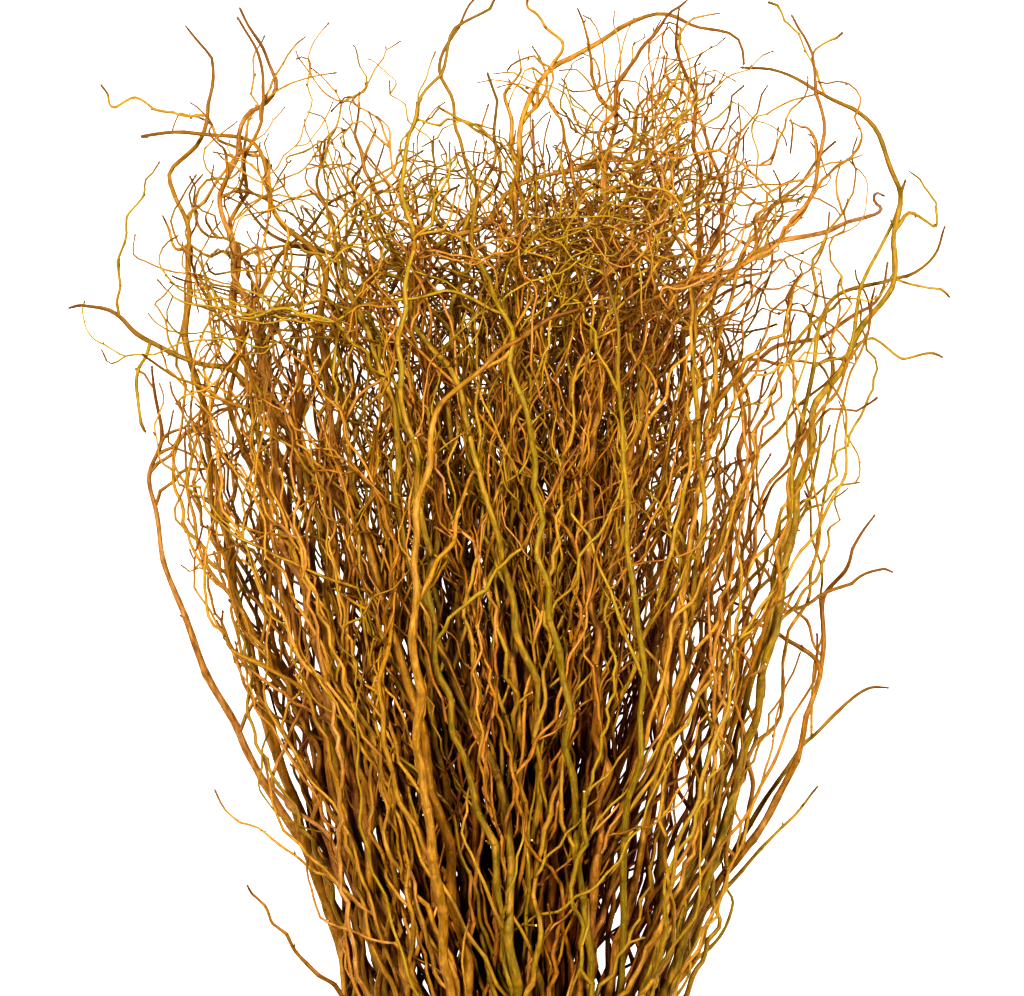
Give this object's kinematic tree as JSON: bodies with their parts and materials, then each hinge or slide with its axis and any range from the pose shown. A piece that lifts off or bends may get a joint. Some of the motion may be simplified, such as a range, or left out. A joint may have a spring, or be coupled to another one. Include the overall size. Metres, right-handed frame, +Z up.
{
  "type": "willow stems",
  "caption": "Bunch of long curly willow stems, tied with twine near the cut ends and fanning out to thin tips, lying flat.",
  "frame": {"origin": "on the surface under the middle of the bunch", "axes": "+Y along the bunch from the cut ends to the tips, +X across it, +Z up from the surface it lies on"},
  "size_m": [0.8878, 1.503, 0.3333],
  "materials": {
    "olive_bark": "matt olive bark",
    "gold_bark": "matt golden bark",
    "brown_bark": "matt brown bark",
    "jute_twine": "rough twisted jute"
  },
  "bodies": {
    "root": {"stem_right_arch": "olive_bark", "stem_centre_arch": "gold_bark", "stem_top_right": "brown_bark", "stem_left_arm": "olive_bark", "stem_left_edge": "gold_bark", "stem_left_low": "brown_bark", "stem_right_reach": "olive_bark", "stem_right_mid": "gold_bark", "stem_right_fork": "brown_bark", "stem_far_right": "olive_bark", "stem_front_arch": "gold_bark", "stem_left_top": "brown_bark", "stem_middle_top": "olive_bark", "stem_right_shoulder": "gold_bark", "stem_01": "brown_bark", "stem_02": "olive_bark", "stem_03": "gold_bark", "stem_04": "brown_bark", "stem_05": "olive_bark", "stem_06": "gold_bark", "stem_07": "brown_bark", "stem_08": "olive_bark", "stem_09": "gold_bark", "stem_10": "brown_bark", "stem_11": "olive_bark", "stem_12": "gold_bark", "stem_13": "brown_bark", "stem_14": "olive_bark", "stem_15": "gold_bark", "stem_16": "brown_bark", "stem_17": "olive_bark", "stem_18": "gold_bark", "stem_19": "brown_bark", "stem_20": "olive_bark", "stem_21": "gold_bark", "stem_22": "brown_bark", "stem_23": "olive_bark", "stem_24": "gold_bark", "stem_25": "brown_bark", "stem_26": "olive_bark", "stem_27": "gold_bark", "stem_28": "brown_bark", "stem_29": "olive_bark", "stem_30": "gold_bark", "tie": "jute_twine"}
  },
  "joints": []
}
